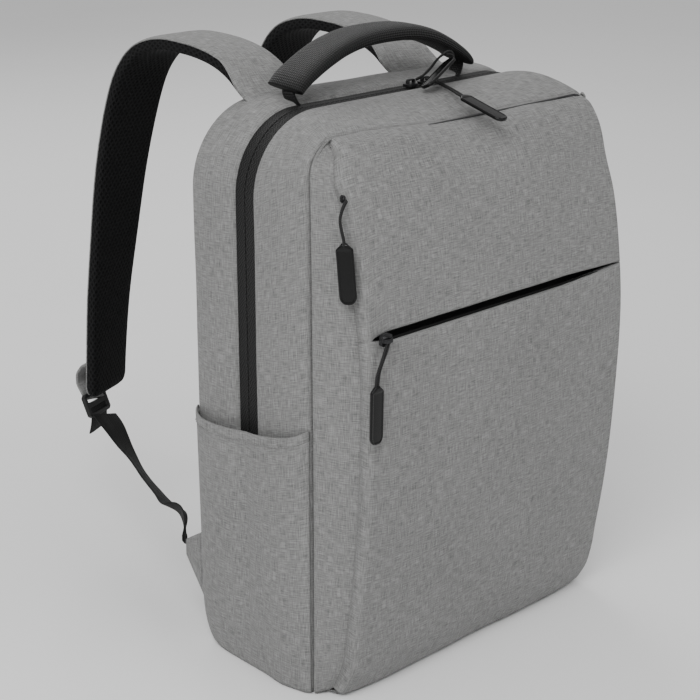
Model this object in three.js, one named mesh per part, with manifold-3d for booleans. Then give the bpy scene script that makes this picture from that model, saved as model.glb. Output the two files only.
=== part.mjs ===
import * as THREE from "three";
import { mergeVertices } from "three/addons/utils/BufferGeometryUtils.js";
import Module from "manifold-3d";

// A laptop backpack standing on its base, millimetres, +Z up.
// The wearer's side is +Y, the front is -Y, and the origin is the middle of the base.
// The rear half stands still. The front half above the fold opens like a lid when the main zip is undone.

// ---- Driving dimensions ----
const HALF_WIDTH = 150;
const TOP = 440;
const BACK = 80;
const SEAM_Y = -50; // seam between the main compartment and the front compartment
const SEAM_TOP = 434;
const ZIP_Y = 20; // centre line of the main zip
const TAPE_WIDTH = 20;
const SEAM_CORNER = 27; // corner radii of the arch: front seam, zip and back seam
const ZIP_CORNER = 60;
const BACK_CORNER = 60;
const WALL = 3;
const TAPE_WALL = 1.5;
const GAP = 0.3;
const RIGHT_CORNER = 0.55; // the right shoulder is fuller: its corner radii are this share of the left ones
const CORNER_STEPS = 6;

const FOLD_LOW = 150; // the lid bends in the band between these heights
const FOLD_TOP = 205;
const LID_HINGE_Y = -10;

const FRONT_HALF = 146; // half width of the front compartment at the front panel
const PANEL_HALF = 142.7;
const PANEL_TOP = 431;
const CHAMFER = 6; // cut off the front panel's top corners
const SLIT_LOW = 293;
const SLIT_TOP = 302;
const SLIT_HALF = 140;

const SIDE_ZIP_X = -149.5; // outer face of the hidden zip in the left fold
const SIDE_ZIP_INSET = 5; // from the front panel's face back to the zip's middle

const POCKET_BULGE = 12; // how far the bottle pocket stands off the side at its hem, and at the base
const POCKET_BULGE_LOW = 6.5;
const POCKET_WALL = 2;
const HEM = 8;

const HANDLE_Y = 36;

const STRAP_X = 77;
const STRAP_SPREAD = 9; // how much further out the strap is at its lower end
const STRAP_TURN = 0.35; // how far it turns about its length there, radians
const STRAP_WIDTH = 56;
const STRAP_THICK = 11;
const WEBBING_WIDTH = 24;
const WEBBING_THICK = 1.6;
const CORD = 2.6;

const TAG_LENGTH = 44;
const TAG_WIDTH = 12.5;
const TAG_THICK = 3.2;

// ---- Finishes ----
const finish = (color, roughness, metalness = 0) =>
  new THREE.MeshStandardMaterial({ color, roughness, metalness });
const fabric = finish(0x979797, 0.9);
const lining = finish(0x3a3a3c, 0.9);
const mesh3d = finish(0x1c1c1d, 0.95);
const webbing = finish(0x161617, 0.85);
const tape = finish(0x1a1a1b, 0.8);
const cordFinish = finish(0x2b2b2c, 0.7);
const rubber = finish(0x232324, 0.5);
const plastic = finish(0x111112, 0.4);
const gunmetal = finish(0x2a2a2c, 0.35, 0.7);
const board = finish(0x55504a, 0.8);

const pack = new THREE.Group();

function add(name, geometry, material) {
  const mesh = new THREE.Mesh(geometry, material);
  mesh.name = name;
  pack.add(mesh);
  return mesh;
}

const v3 = (x, y, z) => new THREE.Vector3(x, y, z);

// ---- Solids ----

// A closed solid carried through rings of equally many points, its two ends capped.
function loft(rings) {
  const count = rings[0].length;
  const position = rings.flat().flatMap((p) => [p.x, p.y, p.z]);
  const index = [];
  for (let r = 0; r + 1 < rings.length; r++) {
    for (let i = 0; i < count; i++) {
      const a = r * count + i;
      const b = r * count + ((i + 1) % count);
      index.push(a, b, b + count, a, b + count, a + count);
    }
  }
  const cap = capOf(rings[0]);
  const last = (rings.length - 1) * count;
  cap.forEach(([a, b, c]) => index.push(a, c, b, last + a, last + b, last + c));
  const geometry = new THREE.BufferGeometry();
  geometry.setAttribute("position", new THREE.Float32BufferAttribute(position, 3));
  geometry.setIndex(index);
  return facingOut(geometry);
}

// Triangles of a ring's cap, found in the plane that the ring mostly lies in, in the ring's own sense.
function capOf(ring) {
  const normal = v3(0, 0, 0);
  ring.forEach((p, i) => normal.add(p.clone().cross(ring[(i + 1) % ring.length])));
  const [x, y, z] = [Math.abs(normal.x), Math.abs(normal.y), Math.abs(normal.z)];
  const flat = (p) => {
    if (x >= y && x >= z) return new THREE.Vector2(p.y, p.z);
    if (y >= z) return new THREE.Vector2(p.z, p.x);
    return new THREE.Vector2(p.x, p.y);
  };
  const outline = ring.map(flat);
  const sense = THREE.ShapeUtils.area(outline) > 0;
  return THREE.ShapeUtils.triangulateShape(outline, []).map(([a, b, c]) => {
    const turn = THREE.ShapeUtils.area([outline[a], outline[b], outline[c]]) > 0;
    return turn === sense ? [a, b, c] : [a, c, b];
  });
}

// Turns the faces round if the solid is inside out.
function facingOut(geometry) {
  const index = geometry.index.array;
  const position = geometry.getAttribute("position");
  const corner = (i) => new THREE.Vector3().fromBufferAttribute(position, index[i]);
  let volume = 0;
  for (let i = 0; i < index.length; i += 3) {
    volume += corner(i).dot(corner(i + 1).cross(corner(i + 2)));
  }
  if (volume < 0) {
    for (let i = 0; i < index.length; i += 3) {
      [index[i + 1], index[i + 2]] = [index[i + 2], index[i + 1]];
    }
  }
  return geometry;
}

// An outline pushed along an axis. The outline's points are (y, z), (x, z) or (x, y) for axis x, y or z.
function prism(axis, outline, from, to, holes = []) {
  const points = (list) => {
    const made = list.map(([a, b]) => new THREE.Vector2(a, b));
    return THREE.ShapeUtils.isClockWise(made) ? made.reverse() : made;
  };
  const shape = new THREE.Shape(points(outline));
  shape.holes = holes.map((hole) => new THREE.Path(points(hole)));
  const geometry = new THREE.ExtrudeGeometry(shape, { depth: to - from, bevelEnabled: false, curveSegments: 6 });
  const turn = new THREE.Matrix4();
  if (axis === "x") turn.makeBasis(v3(0, 1, 0), v3(0, 0, 1), v3(1, 0, 0)).setPosition(from, 0, 0);
  if (axis === "y") turn.makeBasis(v3(1, 0, 0), v3(0, 0, 1), v3(0, -1, 0)).setPosition(0, to, 0);
  if (axis === "z") turn.setPosition(0, 0, from);
  return geometry.applyMatrix4(turn);
}

// A section carried along a path. side(t) is the direction of the section's width, size(t) its [width, thickness].
function sweep(path, side, size, corners) {
  const rings = path.map((point, i) => {
    const t = i / (path.length - 1);
    const ahead = path[Math.min(i + 1, path.length - 1)];
    const behind = path[Math.max(i - 1, 0)];
    const along = ahead.clone().sub(behind).normalize();
    const across = side(t).clone();
    across.addScaledVector(along, -across.dot(along)).normalize();
    const normal = along.clone().cross(across);
    const [width, thick] = size(t);
    return corners.map(([u, w]) =>
      point.clone().addScaledVector(across, (u * width) / 2).addScaledVector(normal, (w * thick) / 2),
    );
  });
  return loft(rings);
}

const FLAT = [[-1, -1], [1, -1], [1, 1], [-1, 1]];
const PADDED = [[-1, -0.3], [-0.8, -1], [0.8, -1], [1, -0.3], [1, 0.3], [0.8, 1], [-0.8, 1], [-1, 0.3]];

const along = (points, steps) => new THREE.CatmullRomCurve3(points).getPoints(steps);

// ---- Cutting and joining ----
const wasm = await Module();
wasm.setup();

function solid(geometry) {
  const bare = geometry.clone();
  bare.deleteAttribute("normal");
  bare.deleteAttribute("uv");
  const merged = mergeVertices(bare);
  return new wasm.Manifold(
    new wasm.Mesh({
      numProp: 3,
      vertProperties: merged.attributes.position.array,
      triVerts: new Uint32Array(merged.index.array),
    }),
  );
}

function geometryOf(made) {
  const result = made.getMesh();
  const geometry = new THREE.BufferGeometry();
  geometry.setAttribute("position", new THREE.BufferAttribute(result.vertProperties, 3));
  geometry.setIndex(new THREE.BufferAttribute(result.triVerts, 1));
  return geometry;
}

// ---- Outlines ----

// Points [x, z] of an arch: up the left side, round two corners and down the right side.
function archLine(halfWidth, top, radius, low, levels = []) {
  const left = levels.filter((z) => z > low && z < top - radius).map((z) => [-halfWidth, z]);
  const corner = (cx, start, size) =>
    Array.from({ length: CORNER_STEPS + 1 }, (_, i) => {
      const angle = start - (i / CORNER_STEPS) * (Math.PI / 2);
      return [cx + size * Math.cos(angle), top - size + size * Math.sin(angle)];
    });
  const right = radius * RIGHT_CORNER;
  return [
    [-halfWidth, low],
    ...left,
    ...corner(radius - halfWidth, Math.PI, radius),
    ...corner(halfWidth - right, Math.PI / 2, right),
    ...left.map(([x, z]) => [-x, z]).reverse(),
    [halfWidth, low],
  ];
}

// A wall that follows an arch from one section to the next. A section's y is a number, or a function of height.
function archBand(sections, low, wall, levels) {
  const ring = ({ y, halfWidth, top, radius }) => {
    const at = ([x, z]) => v3(x, typeof y === "function" ? y(z) : y, z);
    const outer = archLine(halfWidth, top, radius, low, levels);
    const inner = archLine(halfWidth - wall, top - wall, radius - wall, low, levels);
    return [...outer.map(at), ...inner.reverse().map(at)];
  };
  return loft(sections.map(ring));
}

// The front panel's curve in side view, from the base to the top edge.
const FRONT_CURVE = new THREE.SplineCurve(
  [[-66, 0], [-80, 25], [-90, 60], [-99, 125], [-104, 210], [-103.5, 275], [-94, 345], [-84, 390], [-66, PANEL_TOP]].map(
    ([y, z]) => new THREE.Vector2(y, z),
  ),
).getPoints(20);

function frontAt(z) {
  const height = THREE.MathUtils.clamp(z, 0, PANEL_TOP);
  const after = Math.max(1, FRONT_CURVE.findIndex((p) => p.y >= height));
  const [a, b] = [FRONT_CURVE[after - 1], FRONT_CURVE[after]];
  return THREE.MathUtils.lerp(a.x, b.x, (height - a.y) / (b.y - a.y));
}

// A stretch of a wall whose plan is the same at every height but follows the front curve.
function frontWall(low, high, plan) {
  const heights = [...FRONT_CURVE.map((p) => p.y), PANEL_TOP - CHAMFER].sort((a, b) => a - b);
  const levels = [low, ...heights.filter((z) => z > low + 2 && z < high - 2), high];
  return loft(levels.map((z) => plan(frontAt(z), z).map(([x, y]) => v3(x, y, z))));
}

// ---- Rear half ----
const sides = [["left", -1], ["right", 1]];
const BASE = 3;
const floorGap = BASE + GAP;
const seam = (y) => ({ y, halfWidth: HALF_WIDTH, top: SEAM_TOP, radius: SEAM_CORNER });
const zipSection = (y, inset = 0) => ({
  y,
  halfWidth: HALF_WIDTH - inset,
  top: TOP - inset,
  radius: ZIP_CORNER - inset,
});
const tapeFront = ZIP_Y - TAPE_WIDTH / 2;
const tapeBack = ZIP_Y + TAPE_WIDTH / 2;
const backInner = BACK - 5;

function rearHalf() {
  const baseOutline = [
    [-148, -45], [-138, -62], [138, -62], [148, -45], [148, 68], [138, 78], [-138, 78], [-148, 68],
  ];
  add("base_panel", prism("z", baseOutline, 0, BASE), fabric);
  add("base_board", prism("z", [[-138, -44], [138, -44], [138, 72], [-138, 72]], BASE + GAP, BASE + 3), board);

  const backOutline = archLine(HALF_WIDTH, TOP - 2, BACK_CORNER, floorGap);
  add("back_panel", prism("y", backOutline, backInner, BACK), lining);
  for (const [name, s] of sides) {
    const pad = [[18, 40], [112, 40], [118, 60], [118, 380], [104, 405], [30, 405], [18, 390]];
    const outline = s < 0 ? pad.map(([x, z]) => [-x, z]).reverse() : pad;
    add(`back_pad_${name}`, prism("y", outline, BACK + GAP, BACK + 9), mesh3d);
  }

  const rear = { y: backInner - GAP, halfWidth: HALF_WIDTH, top: TOP - 2, radius: BACK_CORNER };
  add("rear_gusset", archBand([zipSection(tapeBack + GAP), rear], FOLD_TOP, WALL), fabric);
  const rearTape = [zipSection(ZIP_Y + GAP, 0.5), zipSection(tapeBack, 0.5)];
  add("main_zip_tape_rear", archBand(rearTape, FOLD_TOP, TAPE_WALL), tape);

  for (const [name, s] of sides) {
    const outline = [
      [SEAM_Y, floorGap],
      [backInner - GAP, floorGap],
      [backInner - GAP, FOLD_TOP - GAP],
      [LID_HINGE_Y + GAP, FOLD_TOP - GAP],
      [LID_HINGE_Y + GAP, FOLD_LOW],
      [SEAM_Y, FOLD_LOW],
    ];
    const [from, to] = s < 0 ? [-HALF_WIDTH, WALL - HALF_WIDTH] : [HALF_WIDTH - WALL, HALF_WIDTH];
    add(`side_panel_${name}`, prism("x", outline, from, to), fabric);
  }

  const sleeve = [[-132, 8], [132, 8], [132, 262], [124, 270], [-124, 270], [-132, 262]];
  add("laptop_sleeve", prism("y", sleeve, 46, 52), lining);
}

// ---- Front compartment below the fold ----
function gussetPlan(s) {
  return (y) => [
    [s * HALF_WIDTH, SEAM_Y - GAP],
    [s * FRONT_HALF, y],
    [s * (FRONT_HALF - WALL), y],
    [s * (HALF_WIDTH - WALL), SEAM_Y - GAP],
  ];
}

function panelPlan(y, z) {
  const half = PANEL_HALF - Math.max(0, z - (PANEL_TOP - CHAMFER));
  return [[-half, y], [half, y], [half, y + WALL], [-half, y + WALL]];
}
const dividerHalf = HALF_WIDTH - WALL - 1;

function lowerFront() {
  add("front_panel_lower", frontWall(floorGap, FOLD_LOW, panelPlan), fabric);
  for (const [name, s] of sides) {
    add(`front_gusset_lower_${name}`, frontWall(floorGap, FOLD_LOW, gussetPlan(s)), fabric);
  }
  const divider = [[-dividerHalf, floorGap], [dividerHalf, floorGap], [dividerHalf, FOLD_LOW], [-dividerHalf, FOLD_LOW]];
  add("divider_lower", prism("y", divider, SEAM_Y - WALL, SEAM_Y - GAP), lining);

  // The band of soft cloth that creases when the lid opens, a tube around the front compartment.
  const y = frontAt((FOLD_LOW + FOLD_TOP) / 2);
  const inner = HALF_WIDTH - WALL;
  const half = [[inner, SEAM_Y], [inner, LID_HINGE_Y - GAP], [HALF_WIDTH, LID_HINGE_Y - GAP], [HALF_WIDTH, SEAM_Y]];
  const outline = [...half, [FRONT_HALF, y], [-FRONT_HALF, y], ...half.map(([x, w]) => [-x, w]).reverse()];
  const hollow = [
    [-inner, SEAM_Y - WALL],
    [inner, SEAM_Y - WALL],
    [FRONT_HALF - WALL, y + WALL],
    [WALL - FRONT_HALF, y + WALL],
  ];
  add("front_fold", prism("z", outline, FOLD_LOW + GAP, FOLD_TOP - GAP, [hollow]), fabric);
}

// ---- Bottle pockets ----
const HEM_CURVE = new THREE.SplineCurve(
  [[86, 209], [72, 201], [45, 200], [0, 204.5], [-35, 212], [-56, 223]].map(([y, z]) => new THREE.Vector2(y, z)),
).getPoints(10);

function bottlePocket(name, s) {
  const wall = HALF_WIDTH + GAP;
  const shell = (inset, low, high) => {
    const ring = (z) => {
      const out = THREE.MathUtils.lerp(POCKET_BULGE_LOW, POCKET_BULGE, z / FOLD_TOP) - inset;
      return [
        v3(s * wall, SEAM_Y + 0.5 + inset, z),
        v3(s * (wall + out), SEAM_Y + 7 + inset / 2, z),
        v3(s * (wall + out), BACK - 10 - inset / 2, z),
        v3(s * wall, BACK - 1 - inset, z),
      ];
    };
    return solid(loft([low, 60, 150, high].map(ring)));
  };
  const outer = shell(0, floorGap, 230);
  const hollow = shell(POCKET_WALL, floorGap + 3, 231).add(
    solid(prism("x", [[SEAM_Y + 4, 8], [BACK - 5, 8], [BACK - 5, 231], [SEAM_Y + 4, 231]], ...ordered(s, wall - 1, wall + 1))),
  );
  const body = outer.subtract(hollow);
  const region = (drop, height) => {
    const upper = HEM_CURVE.map((p) => [p.x, p.y - drop]);
    const lower = height ? HEM_CURVE.map((p) => [p.x, p.y - drop - height]) : [[86, -1], [-56, -1]];
    return solid(prism("x", [...upper, ...lower.reverse()], ...ordered(s, 140, 165)));
  };
  add(`bottle_pocket_${name}`, geometryOf(body.intersect(region(HEM + GAP, 0))), fabric);
  add(`pocket_hem_${name}`, geometryOf(body.intersect(region(0, HEM))), fabric);
}

// Two distances from the middle, as a low and a high x on one side.
function ordered(s, near, far) {
  return s < 0 ? [-far, -near] : [near, far];
}

// ---- Lid ----
function lid() {
  add("front_gusset", archBand([seam(SEAM_Y + GAP), zipSection(tapeFront - GAP)], FOLD_TOP, WALL), fabric);
  const frontTape = [zipSection(tapeFront, 0.5), zipSection(ZIP_Y - GAP, 0.5)];
  add("main_zip_tape_front", archBand(frontTape, FOLD_TOP, TAPE_WALL), tape);

  const dividerOutline = archLine(dividerHalf, SEAM_TOP - WALL - 1, SEAM_CORNER - WALL, FOLD_TOP);
  add("divider_upper", prism("y", dividerOutline, SEAM_Y - WALL, SEAM_Y - GAP), lining);

  const front = { y: frontAt, halfWidth: FRONT_HALF, top: PANEL_TOP + WALL + GAP, radius: WALL + GAP };
  const levels = [245, 285, 325, 365, 395];
  add("front_compartment_gusset", archBand([seam(SEAM_Y - GAP), front], FOLD_TOP, WALL, levels), fabric);

  add("front_panel_upper", frontWall(SLIT_TOP, PANEL_TOP, panelPlan), fabric);
  add("front_panel_middle", frontWall(FOLD_TOP, SLIT_LOW, panelPlan), fabric);

  // Zip tapes behind the two lips of the slit, with the open slit between them.
  const behind = WALL + 0.5;
  const stripPlan = (y) => [
    [-SLIT_HALF, y + behind],
    [SLIT_HALF, y + behind],
    [SLIT_HALF, y + behind + TAPE_WALL],
    [-SLIT_HALF, y + behind + TAPE_WALL],
  ];
  add("slit_zip_tape_upper", frontWall(SLIT_TOP - 2.2, SLIT_TOP + 10, stripPlan), tape);
  add("slit_zip_tape_lower", frontWall(SLIT_LOW - 10, SLIT_LOW + 2.2, stripPlan), tape);
  const pouch = [[-134, 214], [134, 214], [134, SLIT_TOP + 8], [-134, SLIT_TOP + 8]];
  add("slit_pocket_lining", prism("y", pouch, -82, -80), lining);

  // A zip hidden in the fold between the left gusset and the front panel.
  const heights = [FOLD_TOP + 6, 300, 398];
  const line = heights.map((z) => v3(SIDE_ZIP_X + 0.8, frontAt(z) + SIDE_ZIP_INSET, z));
  add("side_zip_tape", sweep(line, () => v3(0, 1, 0), () => [8, 1], FLAT), tape);
}

// ---- Zip sliders and their pulls ----
function sliderGeometry() {
  const outline = [[-5.5, -3], [-2, -4.6], [3.5, -4.6], [5.5, -3], [5.5, 3], [3.5, 4.6], [-2, 4.6], [-5.5, 3]];
  const body = solid(prism("z", outline, 0, 2.2));
  const bridge = [[-4, 2], [4, 2], [4, 4.4], [2.8, 5.8], [-2.8, 5.8], [-4, 4.4]];
  const eye = [[-2.4, 2.4], [2.4, 2.4], [2.4, 4], [1.8, 4.6], [-1.8, 4.6], [-2.4, 4]];
  return geometryOf(body.add(solid(prism("y", bridge, -1.5, 1.5, [eye]))));
}

function tagGeometry() {
  const radius = TAG_WIDTH / 2;
  const shape = new THREE.Shape();
  shape.moveTo(0, -2);
  shape.lineTo(5, -radius);
  shape.lineTo(TAG_LENGTH - radius, -radius);
  shape.absarc(TAG_LENGTH - radius, 0, radius, -Math.PI / 2, Math.PI / 2, false);
  shape.lineTo(5, radius);
  shape.lineTo(0, 2);
  shape.closePath();
  const geometry = new THREE.ExtrudeGeometry(shape, { depth: TAG_THICK, bevelEnabled: false, curveSegments: 8 });
  return geometry.translate(0, 0, -TAG_THICK / 2);
}

// Lays a mesh with its length towards one direction and its top face towards another.
function lay(mesh, origin, length, face) {
  const x = length.clone().normalize();
  const z = face.clone().addScaledVector(x, -face.dot(x)).normalize();
  const y = z.clone().cross(x);
  const turn = new THREE.Matrix4().makeBasis(x, y, z);
  mesh.quaternion.setFromRotationMatrix(turn);
  mesh.position.copy(origin);
}

function cordGeometry(points) {
  const path = new THREE.CatmullRomCurve3(points);
  const steps = Math.ceil(path.getLength() / (2 * CORD));
  const section = new THREE.Shape(
    Array.from({ length: 8 }, (_, i) =>
      new THREE.Vector2(Math.cos((i * Math.PI) / 4), Math.sin((i * Math.PI) / 4)).multiplyScalar(CORD / 2),
    ),
  );
  return new THREE.ExtrudeGeometry(section, { steps, bevelEnabled: false, extrudePath: path });
}

// A slider, its cord from the bridge to the tag, and the tag. Names share one word for the zip.
function pull(name, slider, route, tag) {
  const body = add(`${name}_slider`, sliderGeometry(), gunmetal);
  lay(body, slider.at, slider.length, slider.face);
  add(`${name}_pull_cord`, cordGeometry(route), cordFinish);
  const end = route[route.length - 1];
  const length = tag.to.clone().sub(end);
  const piece = add(`${name}_pull_tag`, tagGeometry(), rubber);
  lay(piece, end.clone().addScaledVector(length.clone().normalize(), CORD * 0.7), length, tag.face);
}

function pulls() {
  const top = v3(0, 0, 1);
  pull(
    "main_zip_left",
    { at: v3(22, ZIP_Y, TOP - 0.5 + GAP), length: v3(-1, 0, 0), face: top },
    [v3(26.7, 19, 444.4), v3(31, 15, 448), v3(34, 10, 454), v3(36, 5, 461), v3(40, 1, 465.5), v3(45, -1, 465.5),
      v3(47, -1.5, 462)],
    { to: v3(3.5, -12, 442.6), face: v3(-0.4, -0.35, 0.85) },
  );
  pull(
    "main_zip_right",
    { at: v3(38, ZIP_Y, TOP - 0.5 + GAP), length: v3(1, 0, 0), face: top },
    [v3(37, 17.2, 444), v3(35, 8, 444.5), v3(30, -6, 443.7), v3(23, -22, 443.3), v3(16, -34, 443.5), v3(11.5, -42, 443.4)],
    { to: v3(13, -84, 431.4), face: top },
  );
  const out = v3(0, -1, 0);
  const slitY = frontAt((SLIT_LOW + SLIT_TOP) / 2) - 1.2;
  pull(
    "slit_zip",
    { at: v3(-126, slitY, (SLIT_LOW + SLIT_TOP) / 2), length: v3(-1, 0, 0), face: out },
    [v3(-126, slitY - 4, 293.6), v3(-130, slitY - 4.5, 287), v3(-135, slitY - 4, 279), v3(-137, slitY - 3.8, 270)],
    { to: v3(-139, frontAt(226) - 2.8, 226), face: out },
  );
  const sideY = frontAt(397) + SIDE_ZIP_INSET;
  pull(
    "side_zip",
    { at: v3(SIDE_ZIP_X, sideY, 397), length: v3(0, 0, 1), face: v3(-1, 0, 0) },
    [v3(-153.8, sideY, 390.8), v3(-153.6, -79.5, 384), v3(-153, -81, 377), v3(-152.4, -82, 370.5)],
    { to: v3(-151.6, -84.5, 326), face: v3(-1, 0, 0) },
  );
}

// ---- Carry handle ----
function handle() {
  const half = [[-91, 451], [-84, 459], [-70, 467.5], [-49, 475.5], [-25, 480.5], [0, 482]];
  const whole = [...half, ...half.slice(0, -1).map(([x, z]) => [-x, z]).reverse()];
  const path = along(whole.map(([x, z]) => v3(x, HANDLE_Y, z)), 20);
  const size = (t) => {
    const middle = Math.max(0, Math.sin(Math.PI * t)) ** 0.4;
    return [32 + 5 * middle, 7 + 6 * middle];
  };
  add("handle_grip", sweep(path, () => v3(0, 1, 0), size, PADDED), webbing);
  for (const [name, s] of sides) {
    const [near, far] = [HANDLE_Y - 10, HANDLE_Y + 10];
    const outline = [[near, 440.3], [far, 440.3], [far, 442], [near, 442]];
    add(`handle_anchor_${name}`, prism("x", outline, ...ordered(s, 80, 90)), webbing);
  }
}

// ---- Shoulder straps ----
function shoulderStrap(name, s) {
  const spine = [
    [78.5, 446.5], [90, 454.5], [106, 461.5], [126, 466], [150, 468], [178, 467.5], [203, 461], [221, 449],
    [236, 428], [250, 392], [263, 345], [275, 285], [285, 230], [291, 180], [295, 140],
  ];
  const last = spine.length - 1;
  const out = (i) => s * (STRAP_X + STRAP_SPREAD * THREE.MathUtils.smoothstep(i / last, 0.4, 1));
  const path = along(spine.map(([y, z], i) => v3(out(i), y, z)), 28);
  const turned = (angle) => v3(Math.cos(angle), -s * Math.sin(angle), 0);
  const widthAt = (t) => turned(STRAP_TURN * THREE.MathUtils.smoothstep(t, 0.4, 1));
  const across = turned(STRAP_TURN);
  const size = (t) => [STRAP_WIDTH - (t > 0.97 ? 14 : 0), STRAP_THICK * (t > 0.97 ? 0.6 : 1)];
  add(`shoulder_strap_${name}`, sweep(path, widthAt, size, PADDED), fabric);

  const hold = s * 92;
  const loop = [[302, 164], [309.5, 160], [315.5, 152], [315.5, 145], [311.5, 139.5]];
  const loopPath = along(loop.map(([y, z]) => v3(hold, y, z)), 8);
  add(`strap_loop_${name}`, sweep(loopPath, () => across, () => [27, 2.4], FLAT), fabric);

  const window = (low, high) => [[-12.5, low], [12.5, low], [12.5, high], [-12.5, high]];
  const frame = [[-15.5, -9], [-13, -11], [13, -11], [15.5, -9], [15.5, 9], [13, 11], [-13, 11], [-15.5, 9]];
  const lock = add(`ladder_lock_${name}`, prism("z", frame, -2.2, 2.2, [window(-7.5, -2), window(2, 7.5)]), plastic);
  const face = v3(s * Math.sin(STRAP_TURN) * 0.93, Math.cos(STRAP_TURN) * 0.93, -0.36);
  lay(lock, v3(hold, 303.5, 126.5), across, face);

  const tailPath = along([v3(hold, 299.6, 114.5), v3(hold, 301, 108), v3(hold, 303.5, 101)], 4);
  add(`webbing_tail_${name}`, sweep(tailPath, () => across, () => [WEBBING_WIDTH, WEBBING_THICK], FLAT), webbing);

  const route = [
    [92, 291, 118], [95, 273, 111], [99, 250, 98], [105, 221, 88], [110, 199, 83], [118, 168, 80], [130, 134, 84],
    [142, 113, 84], [148.3, 106.6, 74],
  ];
  const lower = along(route.map(([a, y, z]) => v3(s * a, y, z)), 24);
  const twist = (t) => {
    const angle = (Math.PI / 2) * THREE.MathUtils.smoothstep(t, 0.1, 0.95);
    return across.clone().multiplyScalar(Math.cos(angle)).add(v3(0, 0, -Math.sin(angle) * s));
  };
  const width = (t) => [t > 0.9 ? 16 : WEBBING_WIDTH, WEBBING_THICK];
  add(`lower_webbing_${name}`, sweep(lower, twist, width, FLAT), webbing);

  const tab = [[BACK + 0.6, 94], [104, 78], [104, 64], [BACK + 0.6, 30]];
  add(`anchor_tab_${name}`, prism("x", tab, ...ordered(s, HALF_WIDTH - 3, HALF_WIDTH)), fabric);
}

rearHalf();
lowerFront();
for (const [name, s] of sides) bottlePocket(name, s);
lid();
pulls();
handle();
for (const [name, s] of sides) shoulderStrap(name, s);

export default pack;
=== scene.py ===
"""A grey laptop backpack, dressed round its CAD frame. Lengths are in millimetres until a mesh is made."""

import bpy
import numpy as np
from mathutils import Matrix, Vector


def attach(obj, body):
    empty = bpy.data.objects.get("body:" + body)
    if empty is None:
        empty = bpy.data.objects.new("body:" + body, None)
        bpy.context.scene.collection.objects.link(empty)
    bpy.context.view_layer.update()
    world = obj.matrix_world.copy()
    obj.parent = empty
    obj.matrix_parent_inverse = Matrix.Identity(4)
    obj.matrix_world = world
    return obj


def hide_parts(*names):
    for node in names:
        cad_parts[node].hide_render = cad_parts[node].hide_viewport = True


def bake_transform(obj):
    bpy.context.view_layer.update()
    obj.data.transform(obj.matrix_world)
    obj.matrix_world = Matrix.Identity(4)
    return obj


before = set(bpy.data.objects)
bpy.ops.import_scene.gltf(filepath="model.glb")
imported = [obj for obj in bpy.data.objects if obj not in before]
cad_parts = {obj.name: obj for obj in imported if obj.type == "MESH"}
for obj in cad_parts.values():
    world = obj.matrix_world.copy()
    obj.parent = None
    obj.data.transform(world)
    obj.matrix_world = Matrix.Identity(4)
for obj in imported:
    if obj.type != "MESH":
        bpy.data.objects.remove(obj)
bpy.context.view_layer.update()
MM = 0.001
SIDES = (("left", -1), ("right", 1))

# ---- Camera ----
camera = bpy.data.objects.new("camera", bpy.data.cameras.new("camera"))
bpy.context.scene.collection.objects.link(camera)
camera.location = (-0.92803, -0.90966, 0.69430)
CAMERA_TARGET = Vector((-0.0310, 0.0327, 0.2315))
camera.rotation_euler = (CAMERA_TARGET - camera.location).to_track_quat("-Z", "Y").to_euler()
camera.data.lens = 88.3
camera.data.sensor_width = 36
bpy.context.scene.camera = camera

# ---- Dimensions shared with the part's source ----
HALF_WIDTH = 150
TOP = 440
BACK = 80
SEAM_Y = -50
SEAM_TOP = 434
SEAM_CORNER = 27
ZIP_Y = 20
ZIP_CORNER = 60
BACK_TOP = 438
BACK_CORNER = 60
RIGHT_CORNER = 0.55  # the right shoulder is fuller: its radii are this share of the left ones
RIGHT_SEAM_CORNER = 0.38
TAPE_FRONT = 10
TAPE_BACK = 30
FLOOR_Z = 0.6
LIP_HALF = 146  # from the middle to the right lip
LIP_LEFT = 141  # and to the left lip, low down and at the top
LIP_TOP_LEFT = 131
PANEL_SHIFT = 2.5
SLIT_Z = 297.5
SLIT_GAP = 3.6
SLIT_ENDS = (-137, 145)
STRAP_X = 77
STRAP_SPREAD = 9
STRAP_TURN = 0.35
LOCK_X = 92
HANDLE_Y = 36
CORD = 3.0
TAG_LENGTH = 44
TAG_HALF = 6.25
TAG_THICK = 3.2
SLIT_RISE, SLIT_FALL = 16, 75  # how far from its left and right end the slit takes to open
SLIT_TAPE_SHARE, SLIT_TAPE_SHIFT = 0.92, 3  # the slit's tapes end inside the visible slit
SIDE_SLIDER_SHARE, SIDE_SLIDER_SHIFT = 0.5, (9, -1, 0)  # tucked into the fold, under the lip
SEAM_SAG = 5  # how far the seam over the top sinks at its right end
SHOULDER_Z, SHOULDER_RISE = 380, 50  # where the arch's top begins, and over what height
RIGHT_HOLLOW, HOLLOW_Z, HOLLOW_SPREAD = 4.5, 386, 27  # a dip in the panel under its right shoulder
SHELL_ROLL, SHELL_WAVE = 3.2, 1.3
LIP_ROLL, LIP_FLANGE = 4.5, 6
HANDLE_ENDS, HANDLE_SWELL = (35, 5), (3, 8.2)  # width and thickness at the ends, and what the middle adds
STRAP_WIDTH, STRAP_THICK = 52, 11.5
STRAP_POWER = 4.5
WEBBING_WIDTH, WEBBING_THICK = 24, 1.7
CORD_IN_TAG = 5
METAL_EDGE = 0.25
MIDDLE = (0, 0, 200)  # a place inside the pack


# ---- Curves ----
def smooth(x):
    """Smoothstep: 0 up to 0, 1 from 1, an S between."""
    t = np.clip(x, 0, 1)
    return t * t * (3 - 2 * t)


def distances(points):
    """How far along a line each of its points is."""
    return np.concatenate([[0], np.cumsum(np.linalg.norm(np.diff(points, axis=0), axis=1))])


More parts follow.
